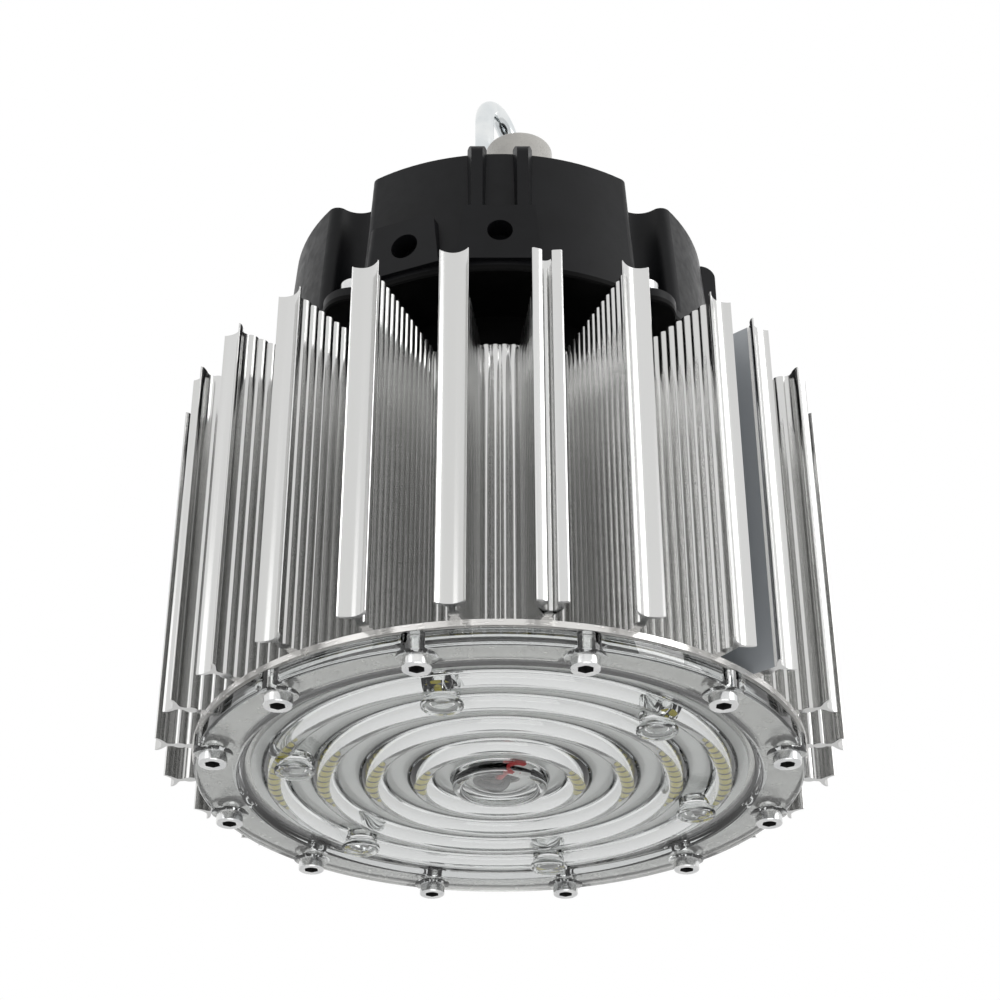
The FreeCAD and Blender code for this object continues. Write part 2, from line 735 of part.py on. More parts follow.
seat_top = housing_top + dim("seat_height")
shank_radius = 5.0
shank_low = housing_top - 6
collar_height = 4.0
collar_low = eye_foot - collar_height / 2
shank = Part.makeCylinder(shank_radius, eye_foot + 3 - shank_low, FreeCAD.Vector(0, 0, shank_low))
collar = Part.makeCylinder(9, collar_height, FreeCAD.Vector(0, 0, collar_low))
node(shaped("eye_bolt", eye_loop().fuse([shank, collar])), "eye_bolt")

nut_height = collar_low - seat_top
nut = hexagon("nut_prism", "dims.nut_across", nut_height, seat_top)
node(cut("eye_nut", nut, cylinder("nut_bore", shank_radius, nut_height, seat_top)), "eye_nut")


def at_gland(name, radius, height, rise):
    """A cylinder on the gland's axis, from a height over the housing's top."""
    return cylinder(name, radius, height, "%s + %g" % (HOUSING_TOP, rise), gland_at.x, gland_at.y)


stem_radius = 10.0
cable_way = 7.5
cap_rise = 8.0
seal_rise = 24.0
gland_hex = hexagon("gland_hex", "dims.gland_across", 7, HOUSING_TOP, gland_at.x, gland_at.y)
node(cut("gland_body", fuse("gland_outer", gland_hex, at_gland("gland_stem", stem_radius, 24, -3)),
         at_gland("gland_bore", cable_way, 40, -10)), "gland_body")
cap = at_gland("gland_cap_outer", "dims.gland_across / 2", "dims.gland_height - %g" % cap_rise,
               cap_rise)
node(cut("gland_cap", cap, at_gland("gland_cap_bore", stem_radius, 14, 7),
         at_gland("gland_mouth", cable_way, 60, 7)), "gland_cap")
node(cut("gland_seal", at_gland("seal_outer", cable_way, 8, seal_rise),
         at_gland("seal_bore", 4, 60, 7)), "gland_seal")

doc.recompute()

for obj in doc.Objects:
    if "Invalid" in obj.State or "Error" in obj.State:
        raise RuntimeError("%s did not build: %s" % (obj.Label, obj.State))
for obj in NODES:
    if obj.Shape.isNull() or not obj.Shape.isValid():
        raise RuntimeError("%s has no valid shape" % obj.Label)

os.makedirs("parts", exist_ok=True)
for obj in NODES:
    obj.Shape.exportStep("parts/%s.step" % obj.Label)
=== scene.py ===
import math

import bpy
import bmesh
from mathutils import Matrix, Vector


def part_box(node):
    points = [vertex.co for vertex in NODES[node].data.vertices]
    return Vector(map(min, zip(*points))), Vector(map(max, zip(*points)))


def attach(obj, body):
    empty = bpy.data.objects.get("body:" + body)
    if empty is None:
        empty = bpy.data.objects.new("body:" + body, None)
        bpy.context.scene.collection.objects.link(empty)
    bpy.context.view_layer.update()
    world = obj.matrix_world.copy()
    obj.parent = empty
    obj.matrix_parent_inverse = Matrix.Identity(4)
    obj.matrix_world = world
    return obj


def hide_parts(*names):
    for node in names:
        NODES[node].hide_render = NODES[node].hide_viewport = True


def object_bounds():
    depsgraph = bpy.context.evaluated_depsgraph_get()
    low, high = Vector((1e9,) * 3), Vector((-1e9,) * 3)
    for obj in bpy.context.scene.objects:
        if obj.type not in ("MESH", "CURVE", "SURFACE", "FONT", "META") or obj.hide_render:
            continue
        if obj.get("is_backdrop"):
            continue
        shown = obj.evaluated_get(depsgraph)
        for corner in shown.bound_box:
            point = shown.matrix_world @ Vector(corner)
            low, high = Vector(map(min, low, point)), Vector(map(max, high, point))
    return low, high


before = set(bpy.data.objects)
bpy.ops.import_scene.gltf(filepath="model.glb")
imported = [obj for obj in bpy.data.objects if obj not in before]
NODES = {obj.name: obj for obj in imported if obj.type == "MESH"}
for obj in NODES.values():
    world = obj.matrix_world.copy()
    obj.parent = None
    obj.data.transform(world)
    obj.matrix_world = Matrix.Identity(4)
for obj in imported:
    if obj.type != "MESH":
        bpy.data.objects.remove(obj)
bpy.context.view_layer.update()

# High bay light: the looks. Lengths in the tables are millimetres, meshes are in metres.
MM = 0.001


# ------------------------------------------------------------------ node helpers

def new_material(name, color, metallic=0.0, roughness=0.5, **sockets):
    """A Principled material with its constants on the shader's own sockets."""
    mat = bpy.data.materials.new(name)
    mat.use_nodes = True
    shader = mat.node_tree.nodes["Principled BSDF"]
    shader.inputs["Base Color"].default_value = (*color, 1)
    shader.inputs["Metallic"].default_value = metallic
    shader.inputs["Roughness"].default_value = roughness
    for socket, value in sockets.items():
        shader.inputs[socket.replace("_", " ")].default_value = value
    return mat


def noise(mat, scale, stretch=(1, 1, 1), detail=3.0):
    """Noise in object space, in features per metre."""
    tree = mat.node_tree
    coords = tree.nodes.new("ShaderNodeTexCoord")
    mapping = tree.nodes.new("ShaderNodeMapping")
    mapping.inputs["Scale"].default_value = stretch
    texture = tree.nodes.new("ShaderNodeTexNoise")
    texture.inputs["Scale"].default_value = scale
    texture.inputs["Detail"].default_value = detail
    texture.inputs["Roughness"].default_value = 0.5
    tree.links.new(coords.outputs["Object"], mapping.inputs["Vector"])
    tree.links.new(mapping.outputs["Vector"], texture.inputs["Vector"])
    return texture.outputs["Fac"]


def spread(mat, source, low, high, socket):
    """Drive a socket between two values by a 0..1 pattern."""
    tree = mat.node_tree
    ranged = tree.nodes.new("ShaderNodeMapRange")
    ranged.inputs["From Min"].default_value = 0.3
    ranged.inputs["From Max"].default_value = 0.7
    ranged.inputs["To Min"].default_value = low
    ranged.inputs["To Max"].default_value = high
    tree.links.new(source, ranged.inputs["Value"])
    tree.links.new(ranged.outputs["Result"], tree.nodes["Principled BSDF"].inputs[socket])


def tint(mat, source, dark, light):
    """Vary the base colour between two colours by a pattern."""
    tree = mat.node_tree
    ramp = tree.nodes.new("ShaderNodeValToRGB")
    ramp.color_ramp.elements[0].position = 0.3
    ramp.color_ramp.elements[0].color = (*dark, 1)
    ramp.color_ramp.elements[1].position = 0.7
    ramp.color_ramp.elements[1].color = (*light, 1)
    tree.links.new(source, ramp.inputs["Fac"])
    tree.links.new(ramp.outputs["Color"], tree.nodes["Principled BSDF"].inputs["Base Color"])


def bump(mat, source, strength, distance):
    """Raise and sink the surface by a pattern, over a distance in metres."""
    tree = mat.node_tree
    node = tree.nodes.new("ShaderNodeBump")
    node.inputs["Strength"].default_value = strength
    node.inputs["Distance"].default_value = distance
    tree.links.new(source, node.inputs["Height"])
    tree.links.new(node.outputs["Normal"], tree.nodes["Principled BSDF"].inputs["Normal"])


def dress(node, mat):
    """Give a CAD node its finish."""
    for entry in NODES[node].material_slots:
        entry.material = mat


def keep(name, mesh, mat, slot, *replaced, sharp=35):
    """Make a mesh a piece of the light, shaded smooth up to an angle."""
    mesh.polygons.foreach_set("use_smooth", [True] * len(mesh.polygons))
    mesh.set_sharp_from_angle(angle=math.radians(sharp))
    piece = bpy.data.objects.new(name, mesh)
    bpy.context.scene.collection.objects.link(piece)
    mesh.materials.append(mat)
    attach(piece, "root")
    if replaced:
        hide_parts(*replaced)
    return piece


# ------------------------------------------------------------------ materials

extrusion = new_material("extrusion_mat", (0.64, 0.645, 0.64), 1.0, 0.17)
lines = noise(extrusion, 900, (1, 1, 0.012), 2.0)
spread(extrusion, lines, 0.15, 0.2, "Roughness")
tint(extrusion, noise(extrusion, 60, (1, 1, 0.05)), (0.62, 0.62, 0.61), (0.67, 0.67, 0.665))
bump(extrusion, lines, 0.02, 0.00002)

# Painted light: a lighter, bluish, far less metallic copy of the extrusion's finish for the plain webs,
# which lifts them out of the black they would render in.
flat_web_painted_light = new_material("flat_web_painted_light_mat", (0.40, 0.42, 0.44), 0.15, 0.34)
rolled = noise(flat_web_painted_light, 900, (1, 1, 0.012), 2.0)
spread(flat_web_painted_light, rolled, 0.3, 0.38, "Roughness")
tint(flat_web_painted_light, noise(flat_web_painted_light, 60, (1, 1, 0.05)), (0.37, 0.39, 0.41), (0.43, 0.45, 0.47))
bump(flat_web_painted_light, rolled, 0.02, 0.00002)

machined = new_material("machined_mat", (0.85, 0.85, 0.84), 0.62, 0.2)
turning = noise(machined, 260, (1, 1, 6), 2.0)
spread(machined, turning, 0.14, 0.3, "Roughness")
tint(machined, noise(machined, 45), (0.66, 0.65, 0.63), (0.78, 0.77, 0.75))
bump(machined, turning, 0.05, 0.00002)

board_white = new_material("board_mat", (0.90, 0.91, 0.90), 0.0, 0.42)
mask = noise(board_white, 90, detail=4.0)
spread(board_white, mask, 0.36, 0.5, "Roughness")
tint(board_white, mask, (0.87, 0.88, 0.87), (0.93, 0.94, 0.93))
bump(board_white, noise(board_white, 1500), 0.12, 0.00003)

# Painted shade: a near-black copy of steel for the lens screws' hexagon sockets, standing in for the
# shade inside the recess.
socket_painted_shade = new_material("socket_painted_shade_mat", (0.02, 0.02, 0.02), 0.3, 0.5)
socket_shade_speckle = noise(socket_painted_shade, 900)
spread(socket_painted_shade, socket_shade_speckle, 0.4, 0.6, "Roughness")
tint(socket_painted_shade, socket_shade_speckle, (0.01, 0.01, 0.01), (0.03, 0.03, 0.03))
bump(socket_painted_shade, socket_shade_speckle, 0.1, 0.00003)

# Painted shade: the LED cases, white on the real light, are coloured dark brown so that the gaps between
# the phosphor pads read as the shade under the lens ridges.
led_case_painted_shade = new_material("led_case_painted_shade_mat", (0.06, 0.05, 0.02), 0.0, 0.5)
case_shade_speckle = noise(led_case_painted_shade, 2000)
spread(led_case_painted_shade, case_shade_speckle, 0.4, 0.6, "Roughness")
tint(led_case_painted_shade, case_shade_speckle, (0.04, 0.035, 0.012), (0.08, 0.07, 0.03))
bump(led_case_painted_shade, case_shade_speckle, 0.1, 0.00002)

phosphor = new_material("phosphor_mat", (0.46, 0.42, 0.05), 0.0, 0.35)
grains = noise(phosphor, 2600, detail=4.0)
tint(phosphor, grains, (0.50, 0.43, 0.02), (0.66, 0.57, 0.05))
spread(phosphor, grains, 0.28, 0.45, "Roughness")
bump(phosphor, grains, 0.2, 0.00003)

glass = new_material("lens_mat", (0.97, 0.98, 0.97), 0.0, 0.02, IOR=1.585, Transmission_Weight=1.0)
flow = noise(glass, 35, detail=1.0)
spread(glass, flow, 0.005, 0.03, "Roughness")
bump(glass, flow, 0.03, 0.0004)
smoke = glass.node_tree.nodes.new("ShaderNodeVolumeAbsorption")
smoke.inputs["Color"].default_value = (0.5, 0.52, 0.53, 1)
smoke.inputs["Density"].default_value = 35.0
glass.node_tree.links.new(smoke.outputs["Volume"],
                          glass.node_tree.nodes["Material Output"].inputs["Volume"])

rubber = new_material("seal_mat", (0.03, 0.03, 0.03), 0.0, 0.6)
pores = noise(rubber, 1200)
spread(rubber, pores, 0.5, 0.72, "Roughness")
bump(rubber, pores, 0.3, 0.00004)

screw_steel = new_material("screw_mat", (0.72, 0.73, 0.73), 1.0, 0.2)
plating = noise(screw_steel, 700)
spread(screw_steel, plating, 0.12, 0.3, "Roughness")
tint(screw_steel, noise(screw_steel, 220), (0.62, 0.63, 0.64), (0.78, 0.78, 0.77))
bump(screw_steel, plating, 0.15, 0.00003)

eye_steel = new_material("eye_mat", (0.72, 0.75, 0.76), 1.0, 0.14)
zinc = noise(eye_steel, 380)
spread(eye_steel, zinc, 0.09, 0.22, "Roughness")
tint(eye_steel, noise(eye_steel, 90), (0.62, 0.66, 0.68), (0.78, 0.80, 0.80))
bump(eye_steel, zinc, 0.04, 0.00003)

gland_grey = new_material("gland_mat", (0.38, 0.37, 0.35), 0.0, 0.45)
moulded = noise(gland_grey, 1400)
spread(gland_grey, moulded, 0.24, 0.36, "Roughness")
tint(gland_grey, noise(gland_grey, 200), (0.36, 0.35, 0.33), (0.41, 0.40, 0.375))
bump(gland_grey, moulded, 0.15, 0.00003)

red_cover = new_material("lead_red_mat", (0.55, 0.02, 0.02), 0.0, 0.35)
black_cover = new_material("lead_black_mat", (0.02, 0.02, 0.02), 0.0, 0.35)
for cover, dark, light in ((red_cover, (0.46, 0.012, 0.012), (0.62, 0.03, 0.03)),
                           (black_cover, (0.014, 0.014, 0.014), (0.03, 0.03, 0.03))):
    skin = noise(cover, 900)
    spread(cover, skin, 0.28, 0.42, "Roughness")
    tint(cover, skin, dark, light)
    bump(cover, skin, 0.1, 0.00003)

black_paint = new_material("housing_mat", (0.004, 0.0042, 0.005), 0.0, 0.42, Specular_IOR_Level=0.16)
# Painted shade: the neck and the housing cover get a darker copy of the housing's black paint, with less
# specular, standing in for the shade they lie in.
neck_painted_shade_paint = new_material("neck_painted_shade_mat", (0.002, 0.002, 0.002), 0.0, 0.5, Specular_IOR_Level=0.05)
for paint, dark, light in ((black_paint, (0.0035, 0.0036, 0.0042), (0.0055, 0.0058, 0.0068)),
                           (neck_painted_shade_paint, (0.0015, 0.0015, 0.0015), (0.003, 0.003, 0.003))):
    peel = noise(paint, 1100, detail=2.0)
    spread(paint, noise(paint, 260), 0.36, 0.48, "Roughness")
    tint(paint, noise(paint, 60), dark, light)
    bump(paint, peel, 0.25, 0.00005)

driver_case = new_material("driver_mat", (0.5, 0.5, 0.5), 1.0, 0.4)
sheet_metal = noise(driver_case, 500, (1, 6, 1))
spread(driver_case, sheet_metal, 0.3, 0.5, "Roughness")
bump(driver_case, sheet_metal, 0.15, 0.00003)

for node, mat in {
        "heat_sink": extrusion, "base_plate": machined, "led_board": board_white,
        "ring_lens": glass, "lens_gasket": rubber, "lens_screws": screw_steel,
        "board_screws": screw_steel, "wire_terminal": board_white, "red_lead": red_cover,
        "black_lead": black_cover, "neck": neck_painted_shade_paint, "neck_screws": screw_steel,
        "housing_cover": neck_painted_shade_paint, "driver_housing": black_paint,
        "housing_screws": screw_steel, "housing_washers": screw_steel, "driver": driver_case,
        "driver_spacer": rubber, "eye_bolt": eye_steel, "eye_nut": eye_steel,
        "gland_body": gland_grey, "gland_cap": gland_grey, "gland_seal": rubber}.items():
    dress(node, mat)


# ------------------------------------------------------------------ heat sink
CORE = 66.0
RIB_RISE = 0.9
RIB_PITCH = 4.2
RIBS = 12
FIN_TIP = 124.4
FINS = 24
FIN_STEP = 15
PORT_FIN = 0
CLOSER_PAIR = (2, 3)
CLOSER_BY = 2.2
FLAT_SIDES = (39.7, 50.3)
WEB = 1.0
SINK_LOW, SINK_HIGH = (z.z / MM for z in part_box("heat_sink"))


def bead(t):
    """The height of a rolled rib across its width, 0..1."""
    return abs(math.sin(math.pi * t)) ** 0.6


def web_side(ribbed):
    """(distance from the axis, half thickness) along a fin's side, from the core outwards."""
    first = CORE + 1.2
    if not ribbed:
        return [(CORE + 0.4, WEB + 0.4), (FIN_TIP - 5.2, WEB + 0.4)]
    points = [(CORE + 0.4, WEB)]
    steps = 8
    for rib in range(RIBS):
        for step in range(steps):
            points.append((first + (rib + step / steps) * RIB_PITCH,
                           WEB + RIB_RISE * bead(step / steps)))
    points.append((first + RIBS * RIB_PITCH, WEB))
    return points


def plain_end():
    """Half of a hollow-faced flange, from the stem's side round the lip to the middle of the face."""
    half = 5.2
    points = [(FIN_TIP - 4.75, WEB), (FIN_TIP - 4.45, WEB + 0.25)]
    for k in range(1, 7):
        x = WEB + 0.5 + (half - 0.3 - WEB - 0.5) * k / 6
        points.append((FIN_TIP - 4.2 + 3.2 * (x / half) ** 2, x))
    for k in range(1, 6):
        turn = math.pi * k / 6
        points.append((FIN_TIP - 0.55 - 0.5 * math.cos(turn), half - 0.45 + 0.45 * math.sin(turn)))
    for k in range(9):
        x = (half - 0.5) * (1 - k / 8)
        points.append((FIN_TIP - 2.6 + 2.5 * (x / half) ** 2, x))
    return points


def port_end():
    """Half of the screw port's end, from the stem round the boss and wing into the open port."""
    half = 5.4
    centre = FIN_TIP - 4.6
    points = []
    for k in range(10):
        turn = math.radians(14 + 126 * k / 9)
        points.append((centre - 4.2 * math.cos(turn), 4.2 * math.sin(turn)))
    points += [(FIN_TIP - 1.5, 4.0), (FIN_TIP - 1.35, half - 0.4), (FIN_TIP - 0.9, half),
               (FIN_TIP - 0.3, half - 0.1), (FIN_TIP, half - 0.6), (FIN_TIP - 0.3, 3.4),
               (FIN_TIP - 0.6, 2.1), (FIN_TIP - 0.9, 1.7)]
    for k in range(12):
        turn = math.radians(135 - 135 * k / 11)
        points.append((centre - 2.4 * math.cos(turn), 2.4 * math.sin(turn)))
    return points


def fin_outline(left_ribbed, right_ribbed, end):
    """A fin's outline, from the core along its left side round the end and back."""
    left = web_side(left_ribbed) + end
    right = web_side(right_ribbed) + end
    outline = [(u, -v) for u, v in left]
    outline += [(u, v) for u, v in reversed(right) if v > 0.001 or (u, v) != right[-1]]
    return outline


def spin(u, v, azimuth):
    """A point u out along a fin and v across it, turned to the fin's azimuth."""
    turn = math.radians(azimuth)
    return (u * math.sin(turn) + v * math.cos(turn), -u * math.cos(turn) + v * math.sin(turn))


def heat_sink_mesh():
    """The core and fins as one closed prism, with a bore down the middle."""
    fins = []
    for k in range(FINS):
        azimuth = FIN_STEP * (k + 0.5)
        if k == PORT_FIN:
            outline = fin_outline(True, True, port_end())
        elif k == CLOSER_PAIR[0]:
            azimuth += CLOSER_BY
            outline = fin_outline(True, False, plain_end())
        elif k == CLOSER_PAIR[1]:
            azimuth -= CLOSER_BY
            outline = fin_outline(False, True, plain_end())
        else:
            outline = fin_outline(True, True, plain_end())
        fins.append((azimuth, [spin(u, v, azimuth) for u, v in outline]))
    verts = []
    faces = []
    rims = []
    for k, (azimuth, outline) in enumerate(fins):
        start = len(rims)
        rims += outline
        faces.append(list(range(start, len(rims))))
        following = fins[(k + 1) % FINS][0] + (360 if k == FINS - 1 else 0)
        low, high = azimuth + 1.0, following - 1.0
        steps = round((high - low) / 0.375)
        for step in range(steps + 1):
            a = low + (high - low) * step / steps
            rims.append(spin(CORE + RIB_RISE * bead((a % 3) / 3), 0, a))
    count = len(rims)
    for z in (SINK_LOW, SINK_HIGH):
        verts += [(x * MM, y * MM, z * MM) for x, y in rims]
    inner = []
    on_core = [i for i, (x, y) in enumerate(rims) if math.hypot(x, y) < CORE + 1.0]
    for z in (SINK_LOW, SINK_HIGH):
        inner.append(len(verts))
        for i in on_core:
            x, y = rims[i]
            shrink = 14.0 / math.hypot(x, y)
            verts.append((x * shrink * MM, y * shrink * MM, z * MM))
    polys = []
    for i in range(count):
        j = (i + 1) % count
        polys.append((i, j, j + count, i + count))
    for ring in faces:
        polys.append(tuple(reversed(ring)))
        polys.append(tuple(i + count for i in ring))
    total = len(on_core)
    for n, i in enumerate(on_core):
        m = (n + 1) % total
        j = on_core[m]
        polys.append((j, i, inner[0] + n, inner[0] + m))
        polys.append((i + count, j + count, inner[1] + m, inner[1] + n))
        polys.append((inner[0] + m, inner[0] + n, inner[1] + n, inner[1] + m))
    mesh = bpy.data.meshes.new("fin_extrusion")
    mesh.from_pydata(verts, [], polys)
    mesh.validate()
    return mesh


sink = keep("fin_extrusion", heat_sink_mesh(), extrusion, "extrusion", "heat_sink", sharp=40)
# The plain webs between the flat sides take this second material: painted light on the same aluminium
# extrusion.
sink.data.materials.append(flat_web_painted_light)
for polygon in sink.data.polygons:
    x, y = polygon.center.x / MM, polygon.center.y / MM
    between = FLAT_SIDES[0] < math.degrees(math.atan2(x, -y)) < FLAT_SIDES[1]
    if between and CORE + 2 < math.hypot(x, y) < FIN_TIP - 5 and abs(polygon.normal.z) < 0.1:
        polygon.material_index = 1


# ------------------------------------------------------------------ ring lens
RINGS = [28.5 + 17.5 * k for k in range(4)]
LENS_TOP = 9.0
LENS_WEB = 6.7
RIDGE = 5.6
SCREWS, SCREW_CIRCLE = 12, 104
POSTS, POST_CIRCLE = 6, 75
SCREW_PLACES = [(SCREW_CIRCLE, 15 + 30 * k) for k in range(SCREWS)]
POST_PLACES = [(POST_CIRCLE, 45 + 60 * k) for k in range(POSTS)]


def arc_points(cx, cz, radius, start, end, steps):
    """Points on an arc, by angles in degrees from +x towards +z."""
    points = []
    for k in range(steps + 1):
        turn = math.radians(start + (end - start) * k / steps)
        points.append((cx + radius * math.cos(turn), cz + radius * math.sin(turn)))
    return points


def lathe(profile, segments, centre=(0, 0)):
    """Turn a closed (radius, height) outline round a vertical axis. Points on the axis become poles."""
    form = bmesh.new()
    rings = []
    for r, z in profile:
        if r < 1e-6:
            rings.append([form.verts.new((centre[0] * MM, centre[1] * MM, z * MM))])
            continue
        ring = []
        for k in range(segments):
            turn = 2 * math.pi * k / segments
            ring.append(form.verts.new(((centre[0] + r * math.sin(turn)) * MM,
                                        (centre[1] - r * math.cos(turn)) * MM, z * MM)))
        rings.append(ring)
    for i, ring in enumerate(rings):
        other = rings[(i + 1) % len(rings)]
        if len(ring) == 1 and len(other) == 1:
            continue
        for k in range(segments):
            m = (k + 1) % segments
            if len(ring) == 1:
                form.faces.new((ring[0], other[k], other[m]))
            elif len(other) == 1:
                form.faces.new((ring[k], other[0], ring[m]))
            else:
                form.faces.new((ring[k], other[k], other[m], ring[m]))
    bmesh.ops.recalc_face_normals(form, faces=form.faces)
    return form


def as_object(name, forms):
    """One object from several closed bmesh forms."""
    mesh = bpy.data.meshes.new(name)
    joined = bmesh.new()
    for form in forms:
        piece = bpy.data.meshes.new("part")
        form.to_mesh(piece)
        joined.from_mesh(piece)
        form.free()
        bpy.data.meshes.remove(piece)
    joined.to_mesh(mesh)
    joined.free()
    obj = bpy.data.objects.new(name, mesh)
    bpy.context.scene.collection.objects.link(obj)
    return obj


def combine(base, tool, operation):
    """Boolean a tool into a base and drop the tool."""
    step = base.modifiers.new("step", "BOOLEAN")
    step.operation = operation
    step.solver = "EXACT"
    step.object = tool
    bpy.context.view_layer.update()
    done = base.evaluated_get(bpy.context.evaluated_depsgraph_get())
    mesh = bpy.data.meshes.new_from_object(done)
    base.modifiers.clear()
    base.data = mesh
    bpy.data.objects.remove(tool)
    return base


def lens_outline():
    """The lens's cross-section: underside outwards, then the top inwards."""
    half = math.sqrt(RIDGE ** 2 - (LENS_TOP - LENS_WEB) ** 2)
    tilt = math.degrees(math.asin((LENS_TOP - LENS_WEB) / RIDGE))
    points = [(0, 3.6), (6, 3.7), (11.5, 4.1)]
    points += arc_points(14.6, 3.6, 1.2, 180, 270, 4)
    points += arc_points(16.0, 3.6, 1.2, 290, 360, 4)
    points += [(17.5, 6.0)]
    points += arc_points(18.4, 5.9, 0.8, 160, 90, 3)
    for radius in RINGS:
        points += [(radius - half - 0.5, LENS_WEB)]
        points += arc_points(radius, LENS_TOP, RIDGE, 180 + tilt + 3, 360 - tilt - 3, 22)
        points += [(radius + half + 0.5, LENS_WEB)]
    points += [(92.6, LENS_WEB), (93.4, LENS_WEB - 0.5), (94.0, 5.2), (94.8, 4.6)]
    points += [(95.6, 4.5), (108.6, 4.5)]
    points += arc_points(108.8, 5.7, 1.2, 280, 360, 5)
    points += [(110.0, 10.2), (109.7, 10.6), (96.5, 10.6), (96.5, 8.9), (90.4, 8.9),
               (89.8, LENS_TOP - 0.1)]
    for radius in reversed(RINGS):
        points += [(radius + 2.6, LENS_TOP), (radius + 2.4, 7.9), (radius - 2.4, 7.9),
                   (radius - 2.6, LENS_TOP)]
    points += [(17.0, LENS_TOP), (14.5, 8.4), (13.2, 6.4), (8, 5.7), (0, 5.5)]
    return points


def at(radius, azimuth):
    """A place on a circle round the axis, by its azimuth in degrees from -Y towards +X."""
    turn = math.radians(azimuth)
    return (radius * math.sin(turn), -radius * math.cos(turn))


def lens_object():
    """The lens: a turned ring with bosses and posts added, then bored."""
    body = as_object("lens_moulding", [lathe(lens_outline(), 256)])
    boss = [(0, 4.0), (6.4, 4.0), (6.9, 4.3), (7.0, 4.8), (7.0, 10.5), (0, 10.5)]
    post = [(0, 0.5), (5.2, 0.5), (5.6, 0.1), (6.2, 0.0), (6.8, 0.15), (7.2, 0.6), (7.3, 1.2),
            (7.1, 1.8), (6.4, 2.2), (6.1, 2.6), (6.0, 3.2), (6.0, 6.2), (6.3, 7.2), (6.3, 8.7), (0, 8.7)]
    adds = [lathe(boss, 40, at(*place)) for place in SCREW_PLACES]
    adds += [lathe(post, 48, at(*place)) for place in POST_PLACES]
    combine(body, as_object("adds", adds), "UNION")
    bore = [(0, -2), (3.3, -2), (3.3, 14), (0, 14)]
    hollow = [(0, 4.1), (3.6, 4.1), (4.3, 4.6), (4.3, 12), (0, 12)]
    cuts = [lathe(bore, 32, at(*place)) for place in SCREW_PLACES]
    cuts += [lathe(hollow, 32, at(*place)) for place in POST_PLACES]
    combine(body, as_object("cuts", cuts), "DIFFERENCE")
    return body


lens = lens_object()
lens_mesh = lens.data
bpy.data.objects.remove(lens)
keep("lens_moulding", lens_mesh, glass, "clear_plastic", "ring_lens", sharp=32)


# ------------------------------------------------------------------ LEDs
LAMP_PITCH = 4.8
CASE_WIDTH, CASE_LENGTH = 4.3, 3.5
PAD_HALF_WIDTH, PAD_HALF_LENGTH = 1.86, 1.66


def lamp_meshes(radius, count, low, high):
    """The white cases and the phosphor pads of one ring of LEDs."""
    cases = bmesh.new()
    pads = bmesh.new()
    for k in range(count):
        turn = Matrix.Rotation(math.radians(360 * (k + 0.5) / count), 4, "Z")
        out = Matrix.Translation((0, -radius * MM, 0))
        made = bmesh.ops.create_cube(cases, size=1)["verts"]
        for v in made:
            v.co = Vector((v.co.x * CASE_WIDTH * MM, v.co.y * CASE_LENGTH * MM,
                           (low + high) / 2 * MM + v.co.z * (high - low) * MM))
            if v.co.z < (low + high) / 2 * MM:
                v.co.x *= 0.94
                v.co.y *= 0.95
            v.co = turn @ out @ v.co
        grid = bmesh.ops.create_grid(pads, x_segments=4, y_segments=4, size=1)["verts"]
        for v in grid:
            x, y = v.co.x, v.co.y
            bulge = (1 - x * x) * (1 - y * y)
            round_off = 1 - 0.12 * abs(x * y)
            v.co = Vector((x * PAD_HALF_WIDTH * round_off * MM, y * PAD_HALF_LENGTH * round_off * MM,
                           (low - 0.02 - 0.14 * bulge) * MM))
            v.co = turn @ out @ v.co
    bmesh.ops.bevel(cases, geom=cases.edges[:], offset=0.12 * MM, segments=1, affect="EDGES")
    bmesh.ops.reverse_faces(pads, faces=pads.faces[:])
    made = []
    for name, form in (("led_case", cases), ("led_pad", pads)):
        mesh = bpy.data.meshes.new(name)
        form.to_mesh(mesh)
        form.free()
        made.append(mesh)
    return made


for ring in range(1, 5):
    radius = RINGS[ring - 1]
    low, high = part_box("led_ring_%d" % ring)
    count = 2 * round(math.pi * radius / LAMP_PITCH)
    cases, pads = lamp_meshes(radius, count, low.z / MM, high.z / MM)
    # The cases take the dark brown painted-shade material.
    keep("led_cases_%d" % ring, cases, led_case_painted_shade, "led_yellow", sharp=30)
    keep("led_pads_%d" % ring, pads, phosphor, "led_yellow", "led_ring_%d" % ring, sharp=60)


# ------------------------------------------------------------------ lens screws

